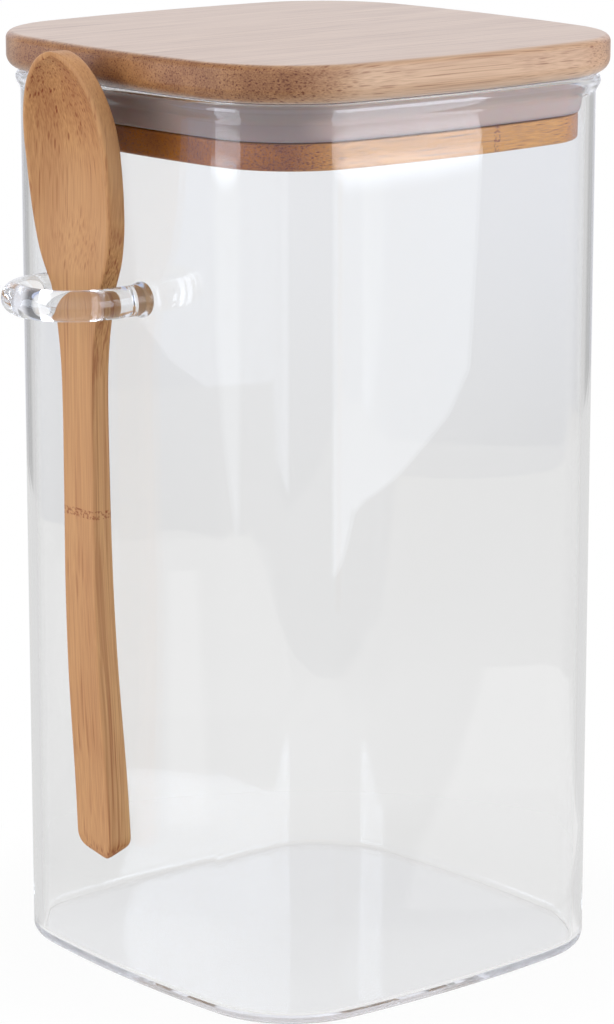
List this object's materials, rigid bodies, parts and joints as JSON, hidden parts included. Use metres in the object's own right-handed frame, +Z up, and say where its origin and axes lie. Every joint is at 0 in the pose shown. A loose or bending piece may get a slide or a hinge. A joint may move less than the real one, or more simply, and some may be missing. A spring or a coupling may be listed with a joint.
{
  "type": "storage jar",
  "caption": "Square glass storage jar with soft corners, a bamboo plug lid with a silicone ring, and a bamboo spoon hung in a glass loop on its side.",
  "frame": {"origin": "middle of the jar's flat underside, on the surface it stands on", "axes": "+Z up through the lid; -Y towards the side that carries the glass loop and the spoon; +X to the right of someone who looks at that side"},
  "size_m": [0.1078, 0.1283, 0.1988],
  "materials": {
    "borosilicate_glass": "clear, blown thin and fire-polished",
    "bamboo": "sanded and lightly oiled, satin",
    "silicone": "milky translucent, soft sheen"
  },
  "bodies": {
    "jar": {"glass_jar": "borosilicate_glass", "spoon_loop": "borosilicate_glass"},
    "lid": {"lid_board": "bamboo", "lid_plug": "bamboo", "seal_ring": "silicone"},
    "spoon": {"spoon": "bamboo"}
  },
  "joints": [
    {"name": "lid_lift", "type": "slide", "parent": "jar", "child": "lid", "axis": [0, 0, 1], "range_m": [0, 0.1]},
    {"name": "spoon_lift", "type": "slide", "parent": "jar", "child": "spoon", "axis": [-0.0105, -0.0244, 0.9996], "range_m": [0, 0.135]}
  ]
}
